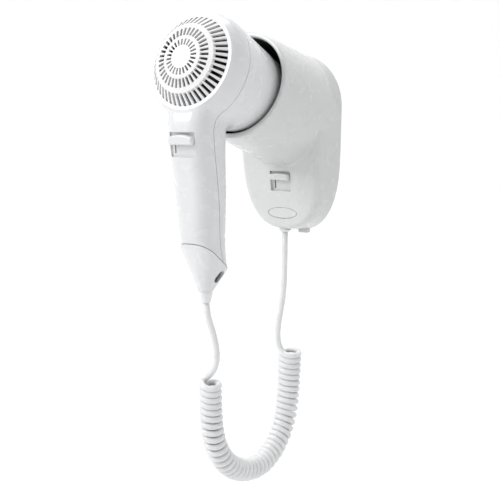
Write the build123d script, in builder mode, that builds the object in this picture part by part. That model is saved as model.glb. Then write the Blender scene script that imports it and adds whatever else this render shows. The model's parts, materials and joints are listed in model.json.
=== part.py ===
from build123d import *
from math import cos, pi, radians, sin, tan
import os

# A wall-mounted hair dryer: a hand piece that rests in the cup of a wall holder, joined to it by a curly cord.
# Millimetres. The origin is on the wall, at the centre of the four wall screws. +Y goes into the wall, +Z is up
# and +X is to the right of someone facing the wall. Every part is symmetric about X = 0 unless it says otherwise.

os.makedirs("parts", exist_ok=True)

# Shared sizes
WALL = 2.4              # thickness of a moulded shell
SEAM = 0.6              # visible gap where two mouldings meet
SLIP = 0.3              # clearance round a moving piece

# Barrel of the hand piece: depths are measured along its axis, from the plane of the grille's edge
BARREL_TILT = 15.8      # degrees that the axis drops on its way to the wall
GRILLE_CENTRE = (0, -156, 65)
GRILLE_R = 37.0
GRILLE_SLOT_R = 36.0    # outer end of the outermost slots
LIP_R = 38.6            # rear edge of the rear shell
SHOULDER_R = 42.2
SHOULDER_DEPTH = 7.0
DRUM_R = 43.4
SEAM_DEPTH = 18.3
NOZZLE_R = 29.4
NOZZLE_DEPTH = 132.0

# Handle: height, half width, rear face Y and front face Y of each level section
HANDLE_STATIONS = [
    (40, 21.5, -157, -128.5),
    (28, 20.5, -165.6, -127.8),
    (15, 19.2, -168.8, -127.2),
    (-19, 18.2, -165.2, -126.4),
    (-52, 17.3, -160.8, -125.2),
]
HANDLE_CORNER = 13.0
CAP_CUT_CENTRE = (0, -140.2, -90)
CAP_CUT_TILT = 37.4     # degrees that the cut above the end cap drops towards the front
CAP_CUT_HALF_WIDTH = 16.5
CAP_CUT_LENGTH = 42.4
CAP_MOUTH = (0, -138.3, -117.6)
CAP_MOUTH_R = 6.0
SEAM_FOOT_Y = -132.5
SEAM_FOOT_Z = -120.0
SEAM_BEND_R = 14.0
FAR_BEHIND_Y = -230.0
NECK_FILLET = 12.0      # between the barrel and the handle

# Cup of the holder: depths are measured along its axis, from the plane of its rim
CUP_TILT = 17.2
CUP_CENTRE = (0, -92.8, 49.7)
CUP_R = 46.1
CUP_BORE_R = 41.8
CUP_FLOOR_R = 38.4
CUP_DEPTH = 76.0
CUP_LIP = 4.2           # thickness of the rounded rim

# Body of the holder
ARCH_CENTRE_Z = 33.0
ARCH_R = 46.5
CUP_ROOT_CENTRE_Z = 23.7
CUP_ROOT_HALF_HEIGHT = 55.8
FRONT_DEPTH = 30.7      # from the wall to the front face, at FRONT_DEPTH_Z
FRONT_DEPTH_Z = -14.0
FRONT_TILT = 7.1        # degrees that the front face leans back towards the bottom
SIDE_TAPER = 4.0        # how far the sides and bottom draw in over the body's depth
BODY_DEPTH = 48.0
PLATE_THICKNESS = 3.0
WALL_SCREW_SPACING_X = 56.0
WALL_SCREW_SPACING_Z = 88.0
WALL_SCREW_HOLE_R = 2.25

# Sliders
HANDLE_SLIDER_Z = 5.2
HANDLE_TRAVEL = 8.0
HOLDER_SLIDER_Z = -29.5
HOLDER_TRAVEL = 8.5

# Cord
CORD_D = 5.4
COIL_D = 19.5
GLAND_X = -3.0
GLAND_Y = -15.4
GLAND_FOOT_Z = -80.6
RELIEF_FOOT = (0, -138.3, -127.4)
RELIEF_TOP = -109.6
RELIEF_COLLAR_R = 5.1
RELIEF_NECK_R = 4.0
RELIEF_BODY_R = 5.4
RELIEF_TIP_R = 3.5

DRYER_RUN = [
    RELIEF_FOOT, (0.5, -137.2, -139), (2.8, -134, -150), (5, -132.5, -161), (6, -131.5, -171.5),
    (4.6, -130.9, -180.5), (0.6, -131.1, -187.4), (-4.2, -132.2, -192.2),
]
COIL_ROUTE = [
    (0, -133, -195.2), (0, -132.6, -215), (0, -131.6, -235), (0.3, -126.5, -253), (0.5, -114.5, -270),
    (0.8, -97.5, -282), (1, -78.5, -288), (1.2, -59.5, -288), (1.4, -42.5, -281), (1.6, -29, -269),
    (1.8, -20.5, -253), (2, -16.8, -235), (2, -15.2, -213), (2, -14, -192),
]
HOLDER_RUN = [
    (-3, -15.4, -80.6), (-3, -15.6, -100), (-3.1, -15.9, -124), (-3.4, -17.6, -142), (-4, -22, -158),
    (-4.2, -25.4, -171), (-4, -25.3, -181), (-3.4, -22, -189),
]

AIM = Vector(0, cos(radians(BARREL_TILT)), -sin(radians(BARREL_TILT)))
BARREL = Plane(origin=GRILLE_CENTRE, x_dir=(1, 0, 0), z_dir=AIM)
BARREL_SIDE = Plane(origin=GRILLE_CENTRE, x_dir=AIM, z_dir=(1, 0, 0))
BARREL_AXIS = Axis(GRILLE_CENTRE, AIM)
CUP_AIM = Vector(0, cos(radians(CUP_TILT)), -sin(radians(CUP_TILT)))
CUP = Plane(origin=CUP_CENTRE, x_dir=(1, 0, 0), z_dir=CUP_AIM)
CUP_SIDE = Plane(origin=CUP_CENTRE, x_dir=CUP_AIM, z_dir=(1, 0, 0))
CUP_AXIS = Axis(CUP_CENTRE, CUP_AIM)
CAP_CUT = Plane(
    origin=CAP_CUT_CENTRE, x_dir=(1, 0, 0), z_dir=(0, sin(radians(CAP_CUT_TILT)), cos(radians(CAP_CUT_TILT)))
)


def turned(plane, angle):
    """The same plane with its x axis turned about its z axis by an angle in degrees."""
    x_dir = plane.x_dir * cos(radians(angle)) + plane.y_dir * sin(radians(angle))
    return Plane(origin=plane.origin, x_dir=x_dir, z_dir=plane.z_dir)


def save(part, name):
    """Label one finished piece and write it under its node's name."""
    part.label = name
    export_step(part, f"parts/{name}.step")


def barrel_r(depth):
    """Outer radius of the straight taper from the seam to the nozzle."""
    return DRUM_R + (NOZZLE_R - DRUM_R) * (depth - SEAM_DEPTH) / (NOZZLE_DEPTH - SEAM_DEPTH)


def handle_section(station, inset):
    """Level rounded section of the handle, drawn in by inset."""
    height, half_width, rear, front = station
    with BuildSketch(Plane.XY.offset(height)) as section:
        with Locations((0, (rear + front) / 2)):
            RectangleRounded(2 * (half_width - inset), front - rear - 2 * inset, HANDLE_CORNER - inset)
    return section.sketch


def cut_section(inset, drop=0):
    """Section of the handle, or drop further down of the end cap, where the two meet."""
    with BuildSketch(CAP_CUT.offset(-drop)) as section:
        RectangleRounded(2 * (CAP_CUT_HALF_WIDTH - inset), CAP_CUT_LENGTH - 2 * inset, HANDLE_CORNER - inset)
    return section.sketch


def barrel_form(inset, rear_end, nozzle_end):
    """The barrel as a closed turned form, drawn in by inset."""
    with BuildPart() as form:
        with BuildSketch(BARREL_SIDE):
            with BuildLine():
                Line((rear_end, 0), (rear_end, LIP_R - inset))
                if rear_end < 0:
                    Line((rear_end, LIP_R - inset), (0, LIP_R - inset))
                ThreePointArc(
                    (max(rear_end, 0), LIP_R - inset),
                    (SHOULDER_DEPTH, SHOULDER_R - inset),
                    (SEAM_DEPTH, DRUM_R - inset),
                )
                Line((SEAM_DEPTH, DRUM_R - inset), (nozzle_end, barrel_r(nozzle_end) - inset))
                Line((nozzle_end, barrel_r(nozzle_end) - inset), (nozzle_end, 0))
                Line((nozzle_end, 0), (rear_end, 0))
            make_face()
        revolve(axis=BARREL_AXIS)
    return form.part


def handle_form(inset):
    """The handle as a closed form from inside the drum to the cut above the end cap."""
    with BuildPart() as form:
        for station in HANDLE_STATIONS:
            add(handle_section(station, inset))
        add(cut_section(inset))
        loft()
    return form.part


def side_point(depth, height):
    """Y and Z of a point given by its depth along the barrel's axis and its height above it."""
    point = BARREL_SIDE.from_local_coords((depth, height, 0))
    return (point.Y, point.Z)


def rear_half(gap):
    """Everything behind the shells' parting surface moved back by gap, for cutting the housing in two."""
    top = side_point(SEAM_DEPTH - gap, 70)
    bend = side_point(SEAM_DEPTH - gap, -49)
    foot = (SEAM_FOOT_Y - gap, SEAM_FOOT_Z)
    with BuildPart() as half:
        with BuildSketch(Plane.YZ):
            with BuildLine():
                parting = FilletPolyline(top, bend, foot, radius=SEAM_BEND_R)
                Polyline(parting @ 1, (FAR_BEHIND_Y, SEAM_FOOT_Z), (FAR_BEHIND_Y, top[1]), parting @ 0)
            make_face()
        extrude(amount=70, both=True)
    return half.part



# ---------------------------------------------------------------- hand piece: housing

with BuildPart() as housing:
    add(barrel_form(0, 0, NOZZLE_DEPTH))
    add(handle_form(0))
    fillet(housing.edges(Select.NEW), NECK_FILLET)

with BuildPart() as hollow:
    add(barrel_form(WALL, -1, NOZZLE_DEPTH + 1))
    add(handle_form(WALL))
    with Locations(BARREL.offset(-1)):
        Cylinder(GRILLE_R + 0.15, 4, align=(Align.CENTER, Align.CENTER, Align.MIN))

# The slider's seat on the rear of the handle: z points out of the handle and y points up along it
BACK = Plane(origin=(0, -167.9, HANDLE_SLIDER_Z), x_dir=(1, 0, 0), z_dir=(0, -0.9944, -0.1053))
POCKET_FLOOR = -2.6
POCKET_PAD = 1.8
HANDLE_CAP_WIDTH = 23.6
HANDLE_CAP_HEIGHT = 8.0
STEM_WIDTH = 0.9
STEM_EDGE = 3.2          # from a slider's left end to the middle of its stem
STEM_HEIGHT = 5.0
CAP_CORNER_R = 1.7


def stem_x(cap_width):
    """Where the stem of a slider of this width is, left of its middle."""
    return STEM_EDGE - cap_width / 2


def slider_seat(plane, width, cap_height, travel, pad_width):
    """The pad behind a slider's pocket, the pocket and the stem's slot, as two lists: what to add and to cut."""
    height = cap_height + travel + 3.5
    middle = -travel / 2
    pad_depth = -POCKET_FLOOR + POCKET_PAD - 1.9
    with BuildPart() as pad:
        with Locations(plane.offset(POCKET_FLOOR - POCKET_PAD)):
            with Locations((0, middle, 0)):
                Box(pad_width, height + 3, pad_depth, align=(Align.CENTER, Align.CENTER, Align.MIN))
    with BuildPart() as pocket:
        with BuildSketch(plane.offset(POCKET_FLOOR)):
            with Locations((0, middle)):
                RectangleRounded(width + 1, height, 1.2)
        extrude(amount=12)
        with BuildSketch(plane.offset(POCKET_FLOOR - POCKET_PAD - 1)):
            with Locations((stem_x(width), middle)):
                Rectangle(STEM_WIDTH + 2 * SLIP, STEM_HEIGHT + travel + 2 * SLIP)
        extrude(amount=POCKET_PAD + 2)
    return pad.part, pocket.part


def slider(plane, width, height, rise, arch):
    """A thumb slider with an arched upper edge, and its stem: its middle is at the plane's origin."""
    shoulder = height / 2 - arch
    with BuildPart() as cap:
        with BuildSketch(plane.offset(POCKET_FLOOR + SLIP)):
            with BuildLine():
                ThreePointArc((width / 2, shoulder), (0, height / 2), (-width / 2, shoulder))
                Polyline((-width / 2, shoulder), (-width / 2, -height / 2), (width / 2, -height / 2))
                Line((width / 2, -height / 2), (width / 2, shoulder))
            make_face()
            fillet(vertices(), CAP_CORNER_R)
        extrude(amount=-POCKET_FLOOR - SLIP + rise)
        crown = cap.faces().filter_by(plane).sort_by(Axis(plane.origin, plane.z_dir))[-1]
        fillet(crown.edges(), min(rise, height / 2) * 0.55)
        with BuildSketch(plane.offset(POCKET_FLOOR + SLIP)):
            with Locations((stem_x(width), 0)):
                Rectangle(STEM_WIDTH, STEM_HEIGHT)
        extrude(amount=-STEM_REACH)
    return cap.part


def switch_body(plane, width, height, depth, travel, cap_width):
    """A slide switch with the slot that its slider's stem reaches into, and two terminals behind it."""
    top = POCKET_FLOOR - POCKET_PAD - SLIP
    middle = -travel / 2
    with BuildPart() as body:
        with BuildSketch(plane.offset(top)):
            with Locations((0, middle)):
                Rectangle(width, height)
        extrude(amount=-depth)
        with BuildSketch(plane.offset(top)):
            with Locations((stem_x(cap_width), middle)):
                Rectangle(STEM_WIDTH + 2 * SLIP, STEM_HEIGHT + travel + 2 * SLIP)
        extrude(amount=-STEM_REACH, mode=Mode.SUBTRACT)
        with BuildSketch(plane.offset(top - depth)):
            with Locations((0, middle)):
                with GridLocations(width / 2, height / 2, 2, 2):
                    Rectangle(0.8, 3)
        extrude(amount=-3.5)
    return body.part


STEM_REACH = 5.5
back_pad, back_pocket = slider_seat(BACK, HANDLE_CAP_WIDTH, HANDLE_CAP_HEIGHT, HANDLE_TRAVEL, 25.6)

# Two screws hold the handle's halves together, put in from the front
SCREW_HEIGHTS = (-38, -70)
SCREW_HEAD_Y = -129.4
BOSS_R = 4.3
BOSS_TIP_Y = -154


def screw_sites(y):
    """Planes facing -Y at the two housing screws."""
    return [Plane(origin=(0, y, height), x_dir=(1, 0, 0), z_dir=(0, -1, 0)) for height in SCREW_HEIGHTS]


with BuildPart() as bosses:
    for site in screw_sites(SCREW_HEAD_Y + 3):
        with Locations(site):
            Cylinder(BOSS_R, 45, align=(Align.CENTER, Align.CENTER, Align.MIN))
    add(handle_form(WALL / 2), mode=Mode.INTERSECT)

with BuildPart() as screw_holes:
    for site in screw_sites(SCREW_HEAD_Y):
        with Locations(site):
            Cylinder(1.55, SCREW_HEAD_Y - BOSS_TIP_Y, align=(Align.CENTER, Align.CENTER, Align.MIN))
    for site in screw_sites(SCREW_HEAD_Y + 10):
        with Locations(site):
            Cylinder(3.3, 10, align=(Align.CENTER, Align.CENTER, Align.MIN))

with BuildPart() as rear_shell:
    add(housing.part)
    add(hollow.part, mode=Mode.SUBTRACT)
    add(bosses.part)
    add(back_pad)
    add(back_pocket, mode=Mode.SUBTRACT)
    add(screw_holes.part, mode=Mode.SUBTRACT)
    add(rear_half(SEAM / 2), mode=Mode.INTERSECT)
save(rear_shell.part, "rear_shell")

with BuildPart() as front_shell:
    add(housing.part)
    add(hollow.part, mode=Mode.SUBTRACT)
    add(bosses.part)
    add(screw_holes.part, mode=Mode.SUBTRACT)
    add(rear_half(-SEAM / 2), mode=Mode.SUBTRACT)
save(front_shell.part, "front_shell")

with BuildPart() as housing_screws:
    for site in screw_sites(SCREW_HEAD_Y):
        with Locations(site):
            Cylinder(1.5, 24, align=(Align.CENTER, Align.CENTER, Align.MIN))
    for site in screw_sites(SCREW_HEAD_Y + 2):
        with Locations(site):
            Cylinder(3.0, 2, align=(Align.CENTER, Align.CENTER, Align.MIN))
save(housing_screws.part, "housing_screws")

# ---------------------------------------------------------------- hand piece: grille

GRILLE_SKIRT = 4.0
GRILLE_SHEET = 2.0
BEVEL_R = 27.7
BEVEL_HEIGHT = 8.1
STEP_R = 24.6
STEP_HEIGHT = 8.9
DOME_MID_R = 14.8
DOME_MID_HEIGHT = 11.6
DOME_HEIGHT = 12.3
DOME_EDGE_SLOPE = 0.35
SLOT_END_DEPTH = 3.0     # the slots end here in the skirt
# inner radius, outer radius, slot width, number of slots and angle of the first slot of each ring
SLOT_RINGS = [(27.9, 35.8, 2.5, 45, -2), (17.3, 24.0, 2.1, 36, 5), (9.2, 14.4, 1.7, 24, 7.5)]


def dome_curve(drop, edge_r):
    """The domed middle of the grille in section, from its edge to the axis, drop mm in from the outer face."""
    Spline(
        (drop - STEP_HEIGHT, edge_r),
        (drop - DOME_MID_HEIGHT, DOME_MID_R),
        (drop - DOME_HEIGHT, 0),
        tangents=[(-DOME_EDGE_SLOPE, -1), (0, -1)],
    )


with BuildPart() as intake_grille:
    with BuildSketch(BARREL_SIDE):
        with BuildLine():
            Polyline((-BEVEL_HEIGHT, BEVEL_R), (0, GRILLE_SLOT_R), (0, GRILLE_R), (GRILLE_SKIRT, GRILLE_R))
            Polyline(
                (GRILLE_SKIRT, GRILLE_R),
                (GRILLE_SKIRT, GRILLE_R - GRILLE_SHEET),
                (GRILLE_SHEET, GRILLE_R - GRILLE_SHEET),
                (GRILLE_SHEET - BEVEL_HEIGHT, BEVEL_R - 0.8),
                (GRILLE_SHEET - STEP_HEIGHT, STEP_R - 0.4),
            )
            dome_curve(GRILLE_SHEET, STEP_R - 0.4)
            Line((GRILLE_SHEET - DOME_HEIGHT, 0), (-DOME_HEIGHT, 0))
            dome_curve(0, STEP_R)
            Line((-STEP_HEIGHT, STEP_R), (-BEVEL_HEIGHT, BEVEL_R))
        make_face()
    revolve(axis=BARREL_AXIS)
    for inner_r, outer_r, width, count, first_angle in SLOT_RINGS:
        with BuildSketch(BARREL.offset(-DOME_HEIGHT - 1)):
            with PolarLocations((inner_r + outer_r) / 2, count, start_angle=first_angle):
                Rectangle(outer_r - inner_r, width)
        extrude(amount=DOME_HEIGHT + 1 + SLOT_END_DEPTH, mode=Mode.SUBTRACT)
save(intake_grille.part, "intake_grille")

# ---------------------------------------------------------------- hand piece: fan, motor and duct

FAN_DEPTH = 15.0
FAN_R = 30.0
HUB_R = 9.0
BLADE_COUNT = 9
BLADE_PITCH = 40
SHAFT_R = 1.0
RUNNING_FIT = 0.05
MOTOR_R = 12.0
MOTOR_START = 25.0
MOTOR_LENGTH = 27.0
DUCT_R = 31.0
DUCT_WALL = 1.6
DUCT_START = 8.0
DUCT_END = 56.0
FROM_REAR = (Align.CENTER, Align.CENTER, Align.MIN)

with BuildPart() as fan_impeller:
    with Locations(BARREL.offset(FAN_DEPTH)):
        with PolarLocations((FAN_R + HUB_R) / 2 - 1, BLADE_COUNT):
            Box(FAN_R - HUB_R + 4, 1.4, 14, rotation=(BLADE_PITCH, 0, 0))
        Cylinder(FAN_R, 30, mode=Mode.INTERSECT)
    with Locations(BARREL.offset(FAN_DEPTH - 6)):
        Cylinder(HUB_R, 13, align=FROM_REAR)
    with Locations(BARREL.offset(FAN_DEPTH - 8)):
        Cone(HUB_R - 3, HUB_R, 2, align=FROM_REAR)
    with Locations(BARREL.offset(FAN_DEPTH - 9)):
        Cylinder(SHAFT_R, 18, align=FROM_REAR, mode=Mode.SUBTRACT)
save(fan_impeller.part, "fan_impeller")

with BuildPart() as motor_shaft:
    with Locations(BARREL.offset(FAN_DEPTH - 6)):
        Cylinder(SHAFT_R, MOTOR_START + MOTOR_LENGTH + 2 - FAN_DEPTH + 6, align=FROM_REAR)
save(motor_shaft.part, "motor_shaft")

with BuildPart() as motor_can:
    with Locations(BARREL.offset(MOTOR_START)):
        Cylinder(MOTOR_R, MOTOR_LENGTH, align=FROM_REAR)
    chamfer(motor_can.edges().filter_by(GeomType.CIRCLE), 1)
    with Locations(BARREL.offset(MOTOR_START - 1)):
        Cylinder(SHAFT_R + RUNNING_FIT, MOTOR_LENGTH + 2, align=FROM_REAR, mode=Mode.SUBTRACT)
save(motor_can.part, "motor_can")

with BuildPart() as air_duct:
    with Locations(BARREL.offset(DUCT_START)):
        Cylinder(DUCT_R + DUCT_WALL, DUCT_END - DUCT_START, align=FROM_REAR)
        Cylinder(DUCT_R, DUCT_END - DUCT_START, align=FROM_REAR, mode=Mode.SUBTRACT)
    with Locations(BARREL.offset(MOTOR_START + 6)):
        Cylinder(MOTOR_R + 1.4, 18, align=FROM_REAR)
        with PolarLocations((DUCT_R + MOTOR_R + 1) / 2, 7, 13):
            Box(DUCT_R - MOTOR_R, 1.2, 18, align=FROM_REAR)
    with Locations(BARREL.offset(MOTOR_START)):
        Cylinder(MOTOR_R + 0.1, MOTOR_LENGTH, align=FROM_REAR, mode=Mode.SUBTRACT)
    with Locations(BARREL.offset(22)):
        with PolarLocations(DUCT_R + DUCT_WALL + 3.4, 4, 45):
            Box(6.8, 2, 8, align=FROM_REAR)
save(air_duct.part, "air_duct")

# ---------------------------------------------------------------- hand piece: heater

HEATER_START = 62.0
HEATER_LENGTH = 56.0
BOARD_HALF_WIDTH = 24.4
BOARD_SHEET = 0.8
RING_R = 22.0
WIRE_R = 1.1
RING_DEPTHS = [HEATER_START + 6 + 9 * i for i in range(6)]
SLEEVE_R = 25.0
SLEEVE_SHEET = 0.5


def mica_board(turn, lap_start):
    """One heater board, notched for the heating rings and half-lapped over the other one."""
    with BuildPart() as board:
        with Locations(turned(BARREL, turn).offset(HEATER_START)):
            Box(2 * BOARD_HALF_WIDTH, BOARD_SHEET, HEATER_LENGTH, align=FROM_REAR)
        with Locations(turned(BARREL, turn).offset(lap_start)):
            Box(BOARD_SHEET + 0.2, 5, HEATER_LENGTH / 2 + 0.5, align=FROM_REAR, mode=Mode.SUBTRACT)
        for depth in RING_DEPTHS:
            with Locations(turned(BARREL, turn).offset(depth)):
                with GridLocations(2 * BOARD_HALF_WIDTH, 0, 2, 1):
                    Box(2 * (BOARD_HALF_WIDTH - RING_R + WIRE_R + 0.1), 5, 2.6, mode=Mode.SUBTRACT)
    return board.part


save(mica_board(0, HEATER_START - 0.5), "mica_board_level")
save(mica_board(90, HEATER_START + HEATER_LENGTH / 2), "mica_board_upright")

with BuildPart() as heating_rings:
    for depth in RING_DEPTHS:
        with Locations(BARREL.offset(depth)):
            Torus(RING_R, WIRE_R)
save(heating_rings.part, "heating_rings")

with BuildPart() as mica_sleeve:
    with Locations(BARREL.offset(HEATER_START - 2)):
        Cylinder(SLEEVE_R + SLEEVE_SHEET, HEATER_LENGTH + 4, align=FROM_REAR)
        Cylinder(SLEEVE_R, HEATER_LENGTH + 4, align=FROM_REAR, mode=Mode.SUBTRACT)
save(mica_sleeve.part, "mica_sleeve")

with BuildPart() as thermostat:
    with Locations(BARREL.offset(HEATER_START + 44)):
        with Locations((10, -BOARD_SHEET / 2 - 2.1, 0)):
            Cylinder(6, 4, rotation=(90, 0, 0))
save(thermostat.part, "thermostat")

with BuildPart() as thermal_fuse:
    with Locations(BARREL.offset(HEATER_START + 38)):
        with Locations((-10, -BOARD_SHEET / 2 - 1.7, 0)):
            Cylinder(1.6, 10)
            Cylinder(0.5, 22)
save(thermal_fuse.part, "thermal_fuse")

with BuildPart() as outlet_grille:
    with BuildSketch(BARREL.offset(NOZZLE_DEPTH - 4.5)):
        for outer_r in (26.7, 18.5, 10):
            Circle(outer_r)
            Circle(outer_r - 1.5, mode=Mode.SUBTRACT)
        with PolarLocations(14, 6):
            Rectangle(25, 1.4)
        Circle(3)
    extrude(amount=3)
save(outlet_grille.part, "outlet_grille")

# ---------------------------------------------------------------- hand piece: switch, end cap and strain relief

save(slider(BACK, HANDLE_CAP_WIDTH, HANDLE_CAP_HEIGHT, 3.0, 2.2), "handle_slider")
save(switch_body(BACK, 20.5, 21, 9, HANDLE_TRAVEL, HANDLE_CAP_WIDTH), "handle_switch")

with BuildPart() as rectifier_diode:
    with Locations((10, -146, 2)):
        Cylinder(2.6, 9)
        Cylinder(0.6, 22)
save(rectifier_diode.part, "rectifier_diode")

# The hanging slot goes through the end cap from side to side, along its front slope
SLOT_PLANE = Plane(origin=(0, -135.2, -105.4), x_dir=(0, 0.5, 0.866), z_dir=(1, 0, 0))
SLOT_LENGTH = 10.5
SLOT_WIDTH = 6.0
CAP_BORE_R = 4.1


def cap_form(inset, top_drop):
    """The end cap as a closed form, drawn in by inset."""
    with BuildPart() as form:
        add(cut_section(inset, top_drop))
        with BuildSketch(Plane.XY.offset(CAP_MOUTH[2])):
            with Locations((CAP_MOUTH[0], CAP_MOUTH[1])):
                Circle(CAP_MOUTH_R - inset)
        loft()
    return form.part


with BuildPart() as end_cap:
    add(cap_form(0, SEAM))
    add(cap_form(WALL, SEAM - 0.1), mode=Mode.SUBTRACT)
    with Locations((CAP_MOUTH[0], CAP_MOUTH[1], CAP_MOUTH[2] - 1)):
        Cylinder(CAP_BORE_R, 6, align=FROM_REAR, mode=Mode.SUBTRACT)
    with BuildSketch(SLOT_PLANE):
        SlotOverall(SLOT_LENGTH, SLOT_WIDTH)
    extrude(amount=CAP_CUT_HALF_WIDTH, both=True, mode=Mode.SUBTRACT)
save(end_cap.part, "end_cap")

with BuildPart() as strain_relief:
    with BuildSketch(Plane.XZ.offset(-CAP_MOUTH[1])):
        with BuildLine():
            Polyline(
                (0, RELIEF_TOP),
                (RELIEF_COLLAR_R, RELIEF_TOP),
                (RELIEF_COLLAR_R, RELIEF_TOP - 1.6),
                (RELIEF_NECK_R, RELIEF_TOP - 1.6),
                (RELIEF_NECK_R, CAP_MOUTH[2] - 0.2),
                (RELIEF_BODY_R, CAP_MOUTH[2] - 0.2),
                (RELIEF_BODY_R, CAP_MOUTH[2] - 2.6),
                (RELIEF_TIP_R, RELIEF_FOOT[2]),
                (0, RELIEF_FOOT[2]),
                (0, RELIEF_TOP),
            )
        make_face()
    revolve(axis=Axis((CAP_MOUTH[0], CAP_MOUTH[1], 0), (0, 0, 1)))
save(strain_relief.part, "strain_relief")

# ---------------------------------------------------------------- holder: cover

FRONT = Plane(
    origin=(0, -FRONT_DEPTH, FRONT_DEPTH_Z),
    x_dir=(1, 0, 0),
    z_dir=(0, -cos(radians(FRONT_TILT)), -sin(radians(FRONT_TILT))),
)
COVER_BACK = 0.4        # the cover stops this far short of the wall
FRONT_FILLET = 6.0
CREASE_FILLET = 4.0
RIM_FILLET = 1.6
OVAL_SINK = 1.6
TAB_X = 10.0
TAB_WIDTH = 9.0
GLAND_NECK_R = 4.6


def holder_outline(inset, depth):
    """The body's outline at a distance from the wall, drawn in by inset."""
    arch = ARCH_R - inset
    with BuildSketch(Plane.XZ.offset(depth)) as outline:
        with BuildLine():
            CenterArc((0, ARCH_CENTRE_Z), arch, 0, 90)
            Spline(
                (arch, ARCH_CENTRE_Z),
                (45.8 - inset, -8),
                (41.4 - inset, -46),
                (29.5 - 0.8 * inset, -69 + 0.6 * inset),
                (0, -80 + inset),
                tangents=((0, -1), (-1, 0)),
            )
            Line((0, -80 + inset), (0, ARCH_CENTRE_Z + arch))
        make_face()
        mirror(about=Plane.YZ)
    return outline.sketch


def body_form(inset, back, front_drop):
    """The holder's body as a closed form with its front face moved back by front_drop."""
    with BuildPart() as form:
        add(holder_outline(inset, back))
        add(holder_outline(inset + SIDE_TAPER * BODY_DEPTH / FRONT_DEPTH, BODY_DEPTH))
        loft()
        split(bisect_by=FRONT.offset(-front_drop), keep=Keep.BOTTOM)
    return form.part


def cup_form(inset, back, rim_drop):
    """The outside of the cup, from its rim moved back by rim_drop to its root on the wall."""
    with BuildPart() as form:
        with BuildSketch(CUP.offset(rim_drop)):
            Circle(CUP_R - inset)
        with BuildSketch(Plane.XZ.offset(back)):
            with Locations((0, CUP_ROOT_CENTRE_Z)):
                Ellipse(ARCH_R - 0.6 - inset, CUP_ROOT_HALF_HEIGHT - 0.9 - inset)
        loft()
    return form.part


OVAL_X = 15.6
OVAL_Z = 5.2
OVAL_CENTRE_Z = -62.7
OVAL_Y_ON_FRONT = (OVAL_CENTRE_Z - FRONT_DEPTH_Z) / cos(radians(FRONT_TILT))
HOLDER_CAP_WIDTH = 20.6
HOLDER_CAP_HEIGHT = 6.2
HOLDER_SLIDE = FRONT.shift_origin(FRONT.from_local_coords((0, (HOLDER_SLIDER_Z - FRONT_DEPTH_Z) * 1.008, 0)))
COVER_SCREW_HEAD_Y = -21.0
POST_Y = -8.5

TERMINAL_Z = -22.0

front_pad, front_pocket = slider_seat(HOLDER_SLIDE, HOLDER_CAP_WIDTH, HOLDER_CAP_HEIGHT, HOLDER_TRAVEL, 25)


def wall_facing(y, z):
    """Plane at a height, facing away from the wall, for features drilled straight at the wall."""
    return Plane(origin=(0, y, z), x_dir=(1, 0, 0), z_dir=(0, -1, 0))


with BuildPart() as front_cover:
    add(body_form(0, COVER_BACK, 0))
    fillet(front_cover.faces().filter_by(FRONT).edges(), FRONT_FILLET)
    add(cup_form(0, COVER_BACK, 0))
    fillet(front_cover.edges(Select.NEW), CREASE_FILLET)
    fillet(front_cover.faces().filter_by(CUP).edges(), RIM_FILLET)
    with Locations(CUP.offset(-1)):
        Cylinder(CUP_BORE_R, CUP_LIP + 4, align=FROM_REAR, mode=Mode.SUBTRACT)
    fillet(front_cover.edges().filter_by(GeomType.CIRCLE).sort_by(CUP_AXIS)[0], RIM_FILLET)
    add(cup_form(WALL, 0, CUP_LIP), mode=Mode.SUBTRACT)
    add(body_form(WALL, 0, WALL), mode=Mode.SUBTRACT)
    with Locations(wall_facing(POST_Y - SLIP, OVAL_CENTRE_Z)):
        Cylinder(6.2, 14.5, align=FROM_REAR)
    add(front_pad)
    add(front_pocket, mode=Mode.SUBTRACT)
    with BuildSketch(FRONT.offset(-OVAL_SINK)):
        with Locations((0, OVAL_Y_ON_FRONT)):
            Ellipse(OVAL_X, OVAL_Z)
    extrude(amount=8, mode=Mode.SUBTRACT)
    with Locations(wall_facing(COVER_SCREW_HEAD_Y, OVAL_CENTRE_Z)):
        Cylinder(3.8, 6, align=FROM_REAR, mode=Mode.SUBTRACT)
        Cylinder(1.9, 30, mode=Mode.SUBTRACT)
    with Locations((TAB_X, 0, -78)):
        Box(TAB_WIDTH + 1.2, 14, 8, mode=Mode.SUBTRACT)
    with Locations((GLAND_X, GLAND_Y, -77)):
        Cylinder(GLAND_NECK_R + 0.1, 12, mode=Mode.SUBTRACT)
save(front_cover.part, "front_cover")

with BuildPart() as screw_cap:
    with BuildSketch(FRONT.offset(-OVAL_SINK)):
        with Locations((0, OVAL_Y_ON_FRONT)):
            Ellipse(OVAL_X - 0.35, OVAL_Z - 0.35)
    extrude(amount=OVAL_SINK)
    fillet(screw_cap.faces().sort_by(Axis.Y)[0].edges(), 0.5)
save(screw_cap.part, "screw_cap")

with BuildPart() as cover_screw:
    with Locations(wall_facing(COVER_SCREW_HEAD_Y, OVAL_CENTRE_Z)):
        Cylinder(3.5, 1.1, align=FROM_REAR)
    with Locations(wall_facing(-2, OVAL_CENTRE_Z)):
        Cylinder(1.5, -COVER_SCREW_HEAD_Y - 2, align=FROM_REAR)
save(cover_screw.part, "cover_screw")

# ---------------------------------------------------------------- holder: cup liner

RIB_WIDTH = 2.0
RIB_START = 5.0
RIB_END = 28.0

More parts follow.
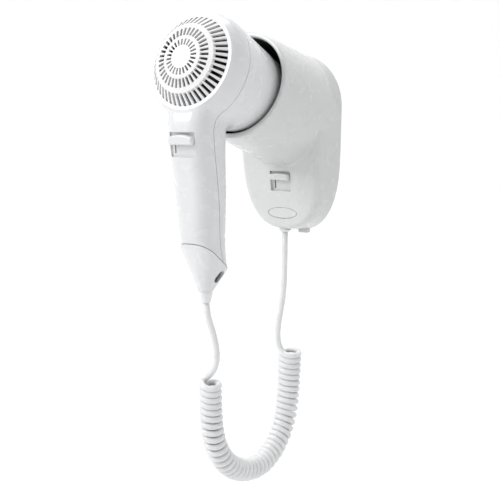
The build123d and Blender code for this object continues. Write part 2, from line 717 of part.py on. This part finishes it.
with BuildPart() as cup_liner:
    with BuildSketch(CUP_SIDE):
        with BuildLine():
            Polyline((CUP_LIP + 0.2, CUP_BORE_R), (CUP_LIP + 0.2, CUP_BORE_R + 1.2), (CUP_DEPTH, CUP_FLOOR_R + 1.4))
            Polyline((CUP_DEPTH, CUP_FLOOR_R + 1.4), (CUP_DEPTH, 0), (CUP_DEPTH - 1.6, 0))
            Polyline((CUP_DEPTH - 1.6, 0), (CUP_DEPTH - 1.6, CUP_FLOOR_R), (CUP_LIP + 0.2, CUP_BORE_R))
        make_face()
    revolve(axis=CUP_AXIS)
    for turn in (-28, 0, 28):
        with Locations(turned(CUP, turn).offset(RIB_START)):
            with Locations((0, CUP_BORE_R - 3, 0)):
                Box(RIB_WIDTH, 7, RIB_END - RIB_START, align=FROM_REAR)
    add(barrel_form(-0.45, 0, NOZZLE_DEPTH), mode=Mode.SUBTRACT)
save(cup_liner.part, "cup_liner")

# ---------------------------------------------------------------- holder: wall plate and what it carries

with BuildPart() as wall_plate:
    add(extrude(holder_outline(WALL + 0.5, 0), amount=PLATE_THICKNESS, dir=(0, -1, 0), mode=Mode.PRIVATE))
    with Locations(wall_facing(-PLATE_THICKNESS + 0.5, OVAL_CENTRE_Z)):
        Cylinder(5.6, -POST_Y - PLATE_THICKNESS + 0.5, align=FROM_REAR)
    with Locations(wall_facing(-1.2, OVAL_CENTRE_Z)):
        Cylinder(1.55, 12, align=FROM_REAR, mode=Mode.SUBTRACT)
    with Locations(wall_facing(-PLATE_THICKNESS, 0)):
        with GridLocations(WALL_SCREW_SPACING_X, WALL_SCREW_SPACING_Z, 2, 2):
            CounterSinkHole(WALL_SCREW_HOLE_R, 4.4, counter_sink_angle=90)
    with Locations((TAB_X, 0, -74)):
        Box(TAB_WIDTH, 5.5, 7.6, align=(Align.CENTER, Align.MAX, Align.MAX))
save(wall_plate.part, "wall_plate")

with BuildPart() as terminal_block:
    with Locations((0, -PLATE_THICKNESS, TERMINAL_Z)):
        Box(30, 9, 9, align=(Align.CENTER, Align.MAX, Align.CENTER))
    for x in (-10, 0, 10):
        with Locations(Plane(origin=(x, -PLATE_THICKNESS - 9, TERMINAL_Z), x_dir=(1, 0, 0), z_dir=(0, -1, 0))):
            Hole(2, 5)
        with Locations(Plane(origin=(x, -PLATE_THICKNESS - 3, TERMINAL_Z), x_dir=(1, 0, 0), z_dir=(0, 0, 1))):
            Cylinder(1.2, 20, mode=Mode.SUBTRACT)
save(terminal_block.part, "terminal_block")

with BuildPart() as terminal_screws:
    for x in (-10, 0, 10):
        with Locations(Plane(origin=(x, -PLATE_THICKNESS - 4.2, TERMINAL_Z), x_dir=(1, 0, 0), z_dir=(0, -1, 0))):
            Cylinder(1.9, 3, align=FROM_REAR)
            with Locations((0, 0, 3)):
                Box(3.4, 0.6, 1, mode=Mode.SUBTRACT)
save(terminal_screws.part, "terminal_screws")

save(slider(HOLDER_SLIDE, HOLDER_CAP_WIDTH, HOLDER_CAP_HEIGHT, 3.2, 1.0), "holder_slider")
save(switch_body(HOLDER_SLIDE, 17, 19, 8, HOLDER_TRAVEL, HOLDER_CAP_WIDTH), "holder_switch")

with BuildPart() as cord_clamp:
    with Locations((GLAND_X, -PLATE_THICKNESS, -70.8)):
        Box(9, 12, 2.6, align=(Align.CENTER, Align.MAX, Align.CENTER))
save(cord_clamp.part, "cord_clamp")

with BuildPart() as cord_gland:
    with BuildSketch(Plane.XZ.offset(-GLAND_Y)):
        with BuildLine():
            Polyline(
                (GLAND_X, -72.6),
                (GLAND_X + 6, -72.6),
                (GLAND_X + 6, -74),
                (GLAND_X + GLAND_NECK_R, -74),
                (GLAND_X + GLAND_NECK_R, -78.6),
                (GLAND_X + 5.6, -78.6),
                (GLAND_X + 4, GLAND_FOOT_Z),
                (GLAND_X, GLAND_FOOT_Z),
                (GLAND_X, -72.6),
            )
        make_face()
    revolve(axis=Axis((GLAND_X, GLAND_Y, 0), (0, 0, 1)))
save(cord_gland.part, "cord_gland")

# ---------------------------------------------------------------- cord


def cord_tube(route, diameter, name):
    """A tube along straight runs joined by the largest tangent arcs that the runs allow."""
    points = [Vector(*point) for point in route]
    radii = []
    for before, corner, after in zip(points, points[1:], points[2:]):
        shorter = min((corner - before).length, (after - corner).length)
        radii.append(0.45 * shorter / tan(radians((corner - before).get_angle(after - corner)) / 2))
    with BuildPart() as tube:
        with BuildLine():
            path = FilletPolyline(*points, radius=radii)
        with BuildSketch(Plane(origin=path @ 0, z_dir=path % 0)):
            Circle(diameter / 2)
        sweep()
    volume = pi * diameter**2 / 4 * path.length
    print(name, "length", round(path.length, 1), "volume over section times length", round(tube.part.volume / volume, 4))
    print("  radii", [round(radius, 1) for radius in radii])
    save(tube.part, name)


cord_tube(DRYER_RUN, CORD_D, "cord_dryer_run")
cord_tube(COIL_ROUTE, COIL_D, "cord_coil")
cord_tube(HOLDER_RUN, CORD_D, "cord_holder_run")
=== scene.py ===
import json
import math

import bmesh
import bpy
import numpy as np
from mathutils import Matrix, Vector


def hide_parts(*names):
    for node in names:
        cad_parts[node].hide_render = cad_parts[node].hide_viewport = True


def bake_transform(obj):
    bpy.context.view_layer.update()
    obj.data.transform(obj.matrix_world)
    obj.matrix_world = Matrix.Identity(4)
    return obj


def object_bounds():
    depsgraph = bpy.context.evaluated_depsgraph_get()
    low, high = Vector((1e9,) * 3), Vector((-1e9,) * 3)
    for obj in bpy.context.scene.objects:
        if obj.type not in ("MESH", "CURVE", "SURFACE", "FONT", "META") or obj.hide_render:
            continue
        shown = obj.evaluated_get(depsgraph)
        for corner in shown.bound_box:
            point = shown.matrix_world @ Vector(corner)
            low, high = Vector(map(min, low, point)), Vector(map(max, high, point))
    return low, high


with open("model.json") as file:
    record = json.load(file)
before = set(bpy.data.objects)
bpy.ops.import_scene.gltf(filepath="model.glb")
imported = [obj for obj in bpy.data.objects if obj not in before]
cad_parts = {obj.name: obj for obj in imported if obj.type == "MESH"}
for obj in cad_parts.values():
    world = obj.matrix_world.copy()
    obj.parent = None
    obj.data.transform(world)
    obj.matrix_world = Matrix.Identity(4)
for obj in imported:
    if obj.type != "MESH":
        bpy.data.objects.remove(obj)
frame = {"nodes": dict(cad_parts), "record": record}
cad_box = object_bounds()
scene = bpy.context.scene

# ---------------------------------------------------------------- routes, in metres

CORD_D = 0.0054
DRYER_RUN = [
    (0.0, -0.1383, -0.1274),
    (0.0005, -0.1372, -0.139),
    (0.0028, -0.134, -0.150),
    (0.005, -0.1325, -0.161),
    (0.006, -0.1315, -0.1715),
    (0.0046, -0.1309, -0.1805),
    (0.0006, -0.1311, -0.1874),
    (-0.0042, -0.1322, -0.1922),
]
COIL_ROUTE = [
    (0.0, -0.133, -0.1952),
    (0.0, -0.1326, -0.215),
    (0.0, -0.1316, -0.235),
    (0.0003, -0.1265, -0.253),
    (0.0005, -0.1145, -0.270),
    (0.0008, -0.0975, -0.282),
    (0.001, -0.0785, -0.288),
    (0.0012, -0.0595, -0.288),
    (0.0014, -0.0425, -0.281),
    (0.0016, -0.029, -0.269),
    (0.0018, -0.0205, -0.253),
    (0.002, -0.0168, -0.235),
    (0.002, -0.0152, -0.213),
    (0.002, -0.014, -0.192),
]
HOLDER_RUN = [
    (-0.003, -0.0154, -0.0806),
    (-0.003, -0.0156, -0.100),
    (-0.0031, -0.0159, -0.124),
    (-0.0034, -0.0176, -0.142),
    (-0.004, -0.022, -0.158),
    (-0.0042, -0.0254, -0.171),
    (-0.004, -0.0253, -0.181),
    (-0.0034, -0.022, -0.189),
]

# ---------------------------------------------------------------- materials

BROAD_NOISE = (38.0, 5.0)       # scale and detail of the slow colour variation
SMUDGE_NOISE = (95.0, 6.0)      # the same of the uneven gloss
GRAIN_DETAIL = 3.0
COLOUR_RANGE = (0.3, 0.72)      # noise values that take the darkest and the palest colour
GLOSS_RANGE = (0.3, 0.7)        # noise values that take the glossiest and the dullest finish
MIN_ROUGHNESS = 0.02
COAT_ROUGHNESS = 0.12
LIGHT_SPREAD = (0.004, 0.0035, 0.003)   # how far red, green and blue light travel under the surface


def tone(colour, factor):
    return tuple(min(1.0, c * factor) for c in colour) + (1.0,)


def noise(tree, mapping, scale, detail):
    """The output of a new noise texture on this mapping."""
    texture = tree.nodes.new("ShaderNodeTexNoise")
    texture.inputs["Scale"].default_value = scale
    texture.inputs["Detail"].default_value = detail
    tree.links.new(mapping.outputs["Vector"], texture.inputs["Vector"])
    return texture.outputs["Fac"]


def finish_material(
    name, colour, roughness, metallic=0.0, mottle=0.03, grain=2600.0, bump=0.06, swing=0.06,
    depth=0.00004, stretch=(1.0, 1.0, 1.0), coat=0.0, subsurface=0.0,
):
    """A procedural finish: slow colour variation, uneven gloss, and the mould's or tool's fine texture."""
    material = bpy.data.materials.new(name)
    material.use_nodes = True
    tree = material.node_tree
    shader = tree.nodes["Principled BSDF"]
    shader.inputs["Metallic"].default_value = metallic
    shader.inputs["Coat Weight"].default_value = coat
    shader.inputs["Coat Roughness"].default_value = COAT_ROUGHNESS
    if subsurface:
        shader.inputs["Subsurface Weight"].default_value = subsurface
        shader.inputs["Subsurface Radius"].default_value = LIGHT_SPREAD
        shader.inputs["Subsurface Scale"].default_value = 1.0
    place = tree.nodes.new("ShaderNodeTexCoord")
    mapping = tree.nodes.new("ShaderNodeMapping")
    mapping.inputs["Scale"].default_value = stretch
    tree.links.new(place.outputs["Object"], mapping.inputs["Vector"])

    ramp = tree.nodes.new("ShaderNodeValToRGB")
    darkest, palest = ramp.color_ramp.elements
    darkest.position, palest.position = COLOUR_RANGE
    darkest.color = tone(colour, 1.0 - mottle)
    palest.color = tone(colour, 1.0 + mottle * 0.5)
    tree.links.new(noise(tree, mapping, *BROAD_NOISE), ramp.inputs["Fac"])
    tree.links.new(ramp.outputs["Color"], shader.inputs["Base Color"])

    gloss = tree.nodes.new("ShaderNodeMapRange")
    gloss.inputs["From Min"].default_value, gloss.inputs["From Max"].default_value = GLOSS_RANGE
    gloss.inputs["To Min"].default_value = max(MIN_ROUGHNESS, roughness - swing)
    gloss.inputs["To Max"].default_value = min(1.0, roughness + swing)
    tree.links.new(noise(tree, mapping, *SMUDGE_NOISE), gloss.inputs["Value"])
    tree.links.new(gloss.outputs["Result"], shader.inputs["Roughness"])

    relief = tree.nodes.new("ShaderNodeBump")
    relief.inputs["Strength"].default_value = bump
    relief.inputs["Distance"].default_value = depth
    tree.links.new(noise(tree, mapping, grain, GRAIN_DETAIL), relief.inputs["Height"])
    tree.links.new(relief.outputs["Normal"], shader.inputs["Normal"])
    return material


FINISHES = {
    "white_shell": finish_material(
        "white_shell_gloss", (0.72, 0.725, 0.735), 0.27, mottle=0.008, swing=0.01, bump=0.03,
        depth=0.00001, coat=0.2,
    ),
    # painted shade: the holder's white plastic is given a darker colour than the dryer's, standing in for
    # the shadow that the dryer and its cup cast on the holder's front
    "holder_shell": finish_material(
        "holder_shell_painted_shade", (0.64, 0.65, 0.65), 0.27, mottle=0.008, swing=0.01, bump=0.03,
        depth=0.00001, coat=0.2,
    ),
    "grille_white": finish_material(
        "grille_white_satin", (0.80, 0.80, 0.805), 0.34, mottle=0.01, swing=0.02, bump=0.04,
        depth=0.00001,
    ),
    "dark_plastic": finish_material("dark_plastic_matt", (0.11, 0.11, 0.115), 0.5, mottle=0.1, bump=0.2),
    "liner_black": finish_material("liner_dark_matt", (0.035, 0.036, 0.038), 0.5, mottle=0.12, bump=0.25),
    "steel": finish_material(
        "zinc_plated_steel", (0.62, 0.62, 0.63), 0.32, metallic=1.0, mottle=0.08, grain=900, bump=0.12,
        swing=0.1,
    ),
    "motor_steel": finish_material(
        "motor_can_steel", (0.55, 0.55, 0.56), 0.38, metallic=1.0, mottle=0.08, grain=700, bump=0.12,
        swing=0.1, stretch=(1.0, 1.0, 6.0),
    ),
    "mica": finish_material(
        "mica_board", (0.55, 0.42, 0.27), 0.42, mottle=0.22, grain=420, bump=0.25, swing=0.16,
    ),
    "nichrome": finish_material(
        "nichrome_wire", (0.42, 0.38, 0.34), 0.42, metallic=1.0, mottle=0.15, grain=1500, bump=0.15,
    ),
    "cord_white": finish_material(
        "cord_white_pvc", (0.76, 0.765, 0.775), 0.3, mottle=0.03, grain=1800, bump=0.12, coat=0.15,
        subsurface=0.08,
    ),
    "terminal_nylon": finish_material("terminal_nylon", (0.78, 0.77, 0.72), 0.5, mottle=0.05, bump=0.2),
}

for entry in frame["record"]["subparts"]:
    node = frame["nodes"][entry["node"]]
    if not node.material_slots:
        node.data.materials.append(None)
    for material_slot in node.material_slots:
        material_slot.link = "OBJECT"
        material_slot.material = FINISHES[entry["material_slot"]]

# ---------------------------------------------------------------- curly cord

TURN_POINTS = 16            # control points in one turn of the coil
PITCH = 0.00552             # along the coil where it hangs straight
COIL_R_DRYER = 0.0071       # middle of the cord to the middle of the coil
COIL_R_HOLDER = 0.0086
BEND_SLACK = 0.85           # how much further apart the turns are where the coil bends
PITCH_WAVE = (0.025, 9.0, 0.6)                          # along the coil's whole length
RADIUS_WAVES = ((0.012, 2.4, 0.0), (0.010, 0.71, 1.0))  # from turn to turn
FRONT = np.array([0.574, -0.819, 0.0])                  # level, towards the camera
END_TILT = 0.34             # how far the first and last turns lean towards the front
TILT_TURNS = 4.5
FIRST_ARM = (-0.17, -0.985, 0.0)                # where the first turn starts, at the holder's end
LAST_ARM = np.array([-0.98, -0.19, 0.0])        # where the last turn ends, at the dryer's end
ROUTE_STEPS = 48            # steps of the route's line between two control points
ROUTE_SAMPLES = 1200
BEND_SAMPLES = 81           # samples that the route's bend is averaged over
CORD_STEPS = 2              # steps of the cord's line between two control points
TUBE_SIDES = 14
TUBE_START = (1.0, 0.13, 0.07)                  # first side of the tube


def spline_points(points, steps):
    """The points of a smooth NURBS line with these control points."""
    data = bpy.data.curves.new("route", "CURVE")
    data.dimensions = "3D"
    data.resolution_u = steps
    spline = data.splines.new("NURBS")
    spline.points.add(len(points) - 1)
    for point, place in zip(spline.points, points):
        point.co = (*place, 1.0)
    spline.order_u = 3
    spline.use_endpoint_u = True
    line = bpy.data.objects.new("route", data)
    scene.collection.objects.link(line)
    bpy.context.view_layer.update()
    mesh = bpy.data.meshes.new_from_object(line)
    found = np.array([v.co for v in mesh.vertices], float)
    bpy.data.objects.remove(line)
    bpy.data.curves.remove(data)
    bpy.data.meshes.remove(mesh)
    return found


def evenly(points, count):
    """The same line at count evenly spaced points, and how far along each one is."""
    steps = np.linalg.norm(np.diff(points, axis=0), axis=1)
    along = np.concatenate([[0.0], np.cumsum(steps)])
    wanted = np.linspace(0.0, along[-1], count)
    return np.stack([np.interp(wanted, along, points[:, k]) for k in range(3)], axis=1), wanted


def frames(points, first):
    """Tangent, normal and binormal at each point, carried along without twist from the first normal."""
    tangents = np.gradient(points, axis=0)
    tangents /= np.linalg.norm(tangents, axis=1)[:, None]
    normals = np.zeros_like(points)
    n = np.array(first, float)
    for k, t in enumerate(tangents):
        n = n - t * (n @ t)
        n = n / np.linalg.norm(n)
        normals[k] = n
    return tangents, normals, np.cross(tangents, normals)


def wave(shape, at):
    """A sine with this size, rate and start, at a place."""
    size, rate, start = shape
    return size * np.sin(rate * at + start)


def coil_points():
    """Control points of the coil's turns, from the holder's end to the dryer's."""
    route, along = evenly(spline_points(COIL_ROUTE[::-1], ROUTE_STEPS), ROUTE_SAMPLES)
    tangents, normals, binormals = frames(route, FIRST_ARM)
    bend = np.linalg.norm(np.gradient(tangents, along, axis=0), axis=1)
    padded = np.pad(bend, BEND_SAMPLES // 2, mode="edge")
    bend = np.convolve(padded, np.ones(BEND_SAMPLES) / BEND_SAMPLES, mode="valid")
    share = along / along[-1]
    radius = COIL_R_HOLDER + (COIL_R_DRYER - COIL_R_HOLDER) * share
    slack = 1 + BEND_SLACK * radius * bend + wave(PITCH_WAVE, share)
    turns = np.concatenate([[0.0], np.cumsum(np.diff(along) / (PITCH * slack[1:]))])
    # stretched a little, so that the last turn ends where the straight run to the dryer leaves it
    last = math.atan2(LAST_ARM @ binormals[-1], LAST_ARM @ normals[-1]) / (-2 * math.pi)
    whole = round(turns[-1] - last)
    turns *= (whole + last) / turns[-1]
    points = []
    steps = int(round(turns[-1] * TURN_POINTS))
    for step in range(steps + 1):
        turn = turns[-1] * step / steps
        s = np.interp(turn, turns, along)
        centre, n, b = (
            np.array([np.interp(s, along, field[:, k]) for k in range(3)])
            for field in (route, normals, binormals)
        )
        r = np.interp(s, along, radius) * (1 + sum(wave(shape, turn) for shape in RADIUS_WAVES))
        # a spline of order 3 runs inside its control points by this much
        r /= (1 + math.cos(math.pi / TURN_POINTS)) / 2
        angle = -2 * math.pi * turn
        arm = r * (math.cos(angle) * n + math.sin(angle) * b)
        lean = math.exp(-turn / TILT_TURNS) + math.exp(-(turns[-1] - turn) / TILT_TURNS)
        points.append(centre + arm - np.array([0.0, 0.0, END_TILT * lean * (arm @ FRONT)]))
    return points


def linked(name, mesh):
    """A smooth-shaded object in the scene, made from this mesh."""
    for face in mesh.faces:
        face.smooth = True
    data = bpy.data.meshes.new(name)
    mesh.to_mesh(data)
    mesh.free()
    piece = bpy.data.objects.new(name, data)
    scene.collection.objects.link(piece)
    return piece


def tube(name, points, radius):
    """A closed round tube that follows the points."""
    _, normals, binormals = frames(points, TUBE_START)
    mesh = bmesh.new()
    rings = []
    for centre, n, b in zip(points, normals, binormals):
        ring = []
        for k in range(TUBE_SIDES):
            a = 2 * math.pi * k / TUBE_SIDES
            ring.append(mesh.verts.new(centre + radius * (math.cos(a) * n + math.sin(a) * b)))
        rings.append(ring)
    for one, two in zip(rings, rings[1:]):
        for k in range(TUBE_SIDES):
            after = (k + 1) % TUBE_SIDES
            mesh.faces.new((one[k], one[after], two[after], two[k]))
    mesh.faces.new(rings[0][::-1])
    mesh.faces.new(rings[-1])
    return linked(name, mesh)


cord_line = spline_points([*HOLDER_RUN, *coil_points(), *DRYER_RUN[::-1]], CORD_STEPS)
curly_cord = tube("curly_cord", cord_line, CORD_D / 2)
curly_cord.data.materials.append(FINISHES["cord_white"])
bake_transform(curly_cord)
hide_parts("cord_holder_run", "cord_coil", "cord_dryer_run")

# ---------------------------------------------------------------- stage, lights and camera

STAGE_FLOOR_Z = cad_box[0][2] - 0.16
STAGE_R = 2.4
STAGE_WALL = 3.2
STAGE_CORNER = 0.9
STAGE_CORNER_STEPS = 12
STAGE_FLAT_RINGS = (0.6, 1.1)
STAGE_SIDES = 72


def studio_bowl():
    """A pale floor that curves up all round into a pale wall."""
    profile = [(r, 0.0) for r in STAGE_FLAT_RINGS]
    for k in range(STAGE_CORNER_STEPS + 1):
        a = math.pi / 2 * k / STAGE_CORNER_STEPS
        profile.append((
            STAGE_R - STAGE_CORNER + STAGE_CORNER * math.sin(a),
            STAGE_CORNER * (1 - math.cos(a)),
        ))
    profile.append((STAGE_R, STAGE_WALL))
    mesh = bmesh.new()
    rings = []
    for r, z in profile:
        ring = []
        for k in range(STAGE_SIDES):
            a = 2 * math.pi * k / STAGE_SIDES
            ring.append(mesh.verts.new((r * math.cos(a), r * math.sin(a), STAGE_FLOOR_Z + z)))
        rings.append(ring)
    for one, two in zip(rings, rings[1:]):
        for k in range(STAGE_SIDES):
            after = (k + 1) % STAGE_SIDES
            mesh.faces.new((one[k], two[k], two[after], one[after]))
    mesh.faces.new(rings[0])
    return linked("studio_floor", mesh)


floor = studio_bowl()
floor.data.materials.append(
    finish_material("studio_paper", (0.90, 0.90, 0.90), 0.8, mottle=0.004, grain=60, bump=0.02, swing=0.02)
)

LIT_PLACE = (0.0, -0.09, -0.08)         # about the middle of the object
BACKDROP_PLACE = (-1.45, 2.0, -0.3)     # the part of the stage's wall behind the object
WORLD_STRENGTH = 0.50
EXPOSURE = 0.74


def aim(piece, place, target):
    """Puts a light or a camera at a place, facing the target."""
    piece.location = place
    piece.rotation_euler = (Vector(target) - Vector(place)).to_track_quat("-Z", "Y").to_euler()
    scene.collection.objects.link(piece)


def area_light(name, place, target, width, height, power):
    data = bpy.data.lights.new(name, "AREA")
    data.shape = "RECTANGLE"
    data.size, data.size_y = width, height
    data.energy = power
    aim(bpy.data.objects.new(name, data), place, target)


area_light("key_light", (-0.85, -1.25, 0.85), LIT_PLACE, 0.7, 0.7, 8.0)
area_light("top_light", (-0.3, 0.35, 1.1), LIT_PLACE, 0.8, 0.5, 2.0)
area_light("backdrop_light", (-0.55, 0.55, 1.9), BACKDROP_PLACE, 1.0, 1.0, 8.0)

world = bpy.data.worlds.new("studio")
world.use_nodes = True
world.node_tree.nodes["Background"].inputs["Color"].default_value = (1.0, 1.0, 1.0, 1.0)
world.node_tree.nodes["Background"].inputs["Strength"].default_value = WORLD_STRENGTH
scene.world = world
scene.view_settings.view_transform = "Standard"
scene.view_settings.look = "None"
scene.view_settings.exposure = EXPOSURE

CAMERA_PLACE = (0.45815, -0.72989, 0.01703)
CAMERA_TARGET = (0.0, -0.07558, -0.09097)
camera_data = bpy.data.cameras.new("camera")
camera_data.lens = 67.03
camera_data.sensor_width = 36.0
camera_data.clip_start = 0.01
camera = bpy.data.objects.new("camera", camera_data)
aim(camera, CAMERA_PLACE, CAMERA_TARGET)
scene.camera = camera
